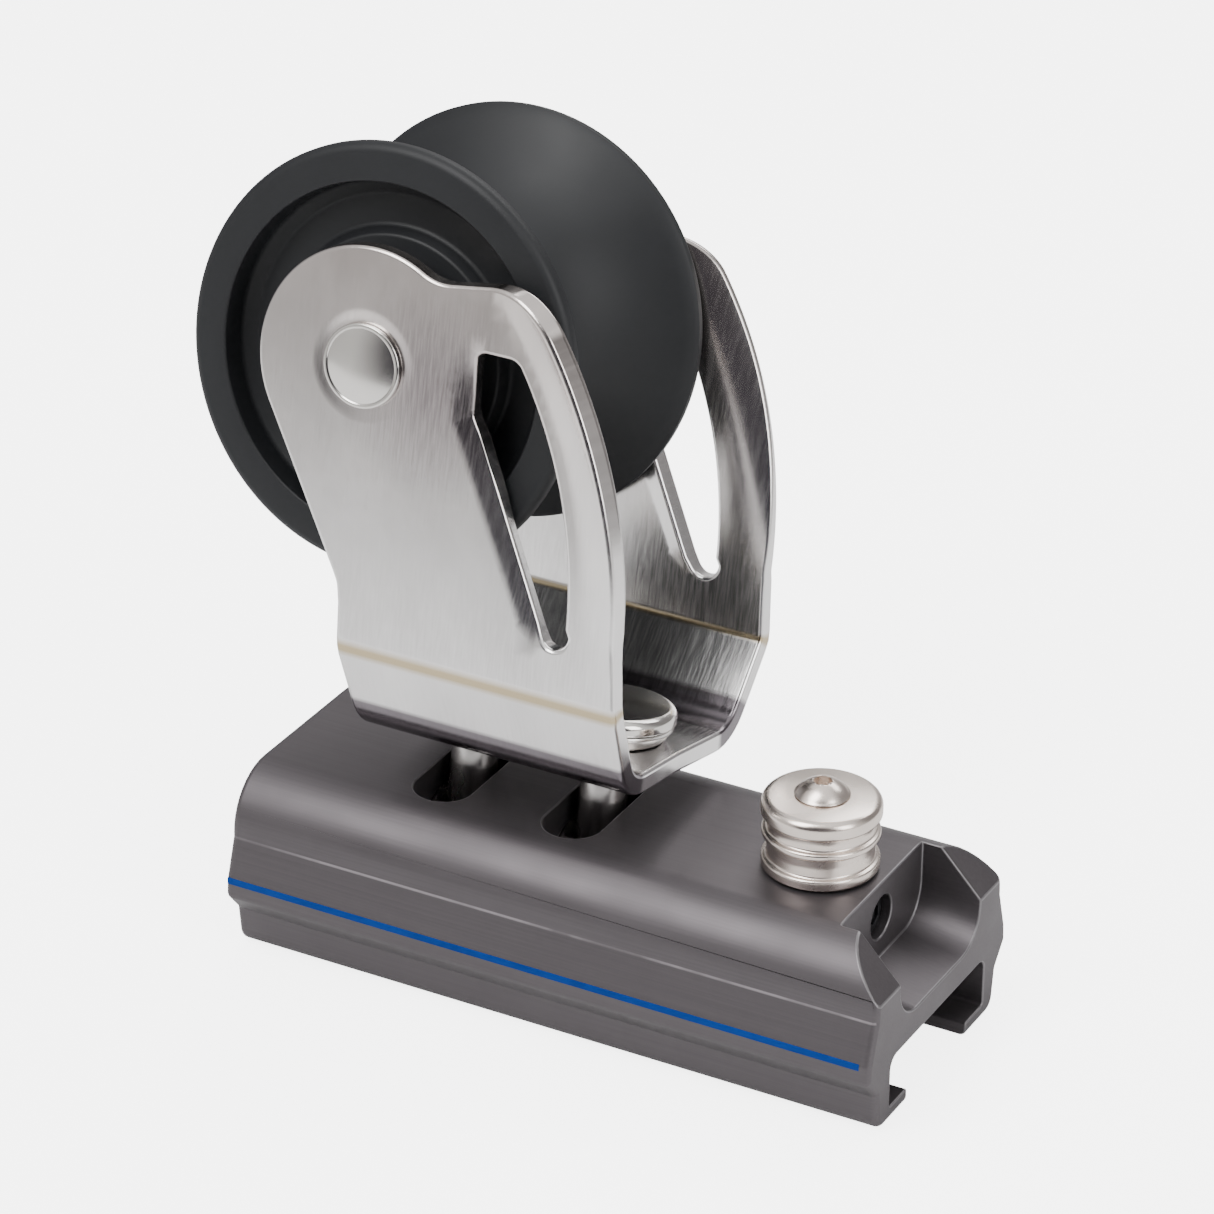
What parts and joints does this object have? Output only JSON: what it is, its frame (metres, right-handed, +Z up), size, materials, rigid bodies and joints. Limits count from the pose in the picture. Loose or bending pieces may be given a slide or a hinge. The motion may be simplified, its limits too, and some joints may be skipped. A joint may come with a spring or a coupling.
{
  "type": "genoa lead car",
  "caption": "Sliding sheet lead car for a T-track: grooved roller in a tilting stainless bail on a slotted alloy slider with a sprung plunger stop.",
  "frame": {"origin": "middle of the slot ceiling, the face of the slider that slides on top of the track, half way along the slider and on its centre line", "axes": "+X along the track towards the plunger end, +Z up from the track, +Y across the track; the bail rests tilted with its top towards +Y"},
  "size_m": [0.1, 0.0554, 0.104],
  "materials": {
    "grey_anodised": "satin grey anodised extrusion, one painted blue line along each side groove",
    "polished_steel": "electropolished stainless sheet and turned heads",
    "turned_steel": "plain turned stainless",
    "black_acetal": "moulded black acetal, satin",
    "bearing_plastic": "natural bearing plastic",
    "sleeve_bronze": "machined bronze",
    "spring_steel": "drawn spring wire"
  },
  "bodies": {
    "car": {"car_body": "grey_anodised", "bar_plug": "turned_steel", "sleeve_grub_screw": "turned_steel", "plunger_sleeve": "sleeve_bronze", "sleeve_cap": "sleeve_bronze"},
    "bail": {"bail": "polished_steel", "swivel_bar": "turned_steel", "post_1": "turned_steel", "post_2": "turned_steel", "post_washer_1": "turned_steel", "post_washer_2": "turned_steel", "post_nut_1": "polished_steel", "post_nut_2": "polished_steel", "axle": "polished_steel", "axle_bush": "bearing_plastic", "thrust_washer_near": "bearing_plastic", "thrust_washer_far": "bearing_plastic"},
    "roller": {"roller": "black_acetal"},
    "plunger": {"plunger_knob": "polished_steel", "knob_screw": "polished_steel", "plunger_pin": "turned_steel", "plunger_spring": "spring_steel"}
  },
  "joints": [
    {"name": "bail_tilt", "type": "hinge", "parent": "car", "child": "bail", "pos_m": [-0.0115, 0, 0.0066], "axis": [1, 0, 0], "range_deg": [-10.6, 33.4]},
    {"name": "roller_spin", "type": "hinge", "parent": "bail", "child": "roller", "pos_m": [-0.0298, 0.01213, 0.06674], "axis": [0, 0.9803, -0.1977], "continuous": true},
    {"name": "plunger_lift", "type": "slide", "parent": "car", "child": "plunger", "axis": [0, 0, 1], "range_m": [0, 0.0065], "stiffness_N_per_m": 600, "springref_m": -0.004, "deforming": ["plunger_spring"]}
  ]
}
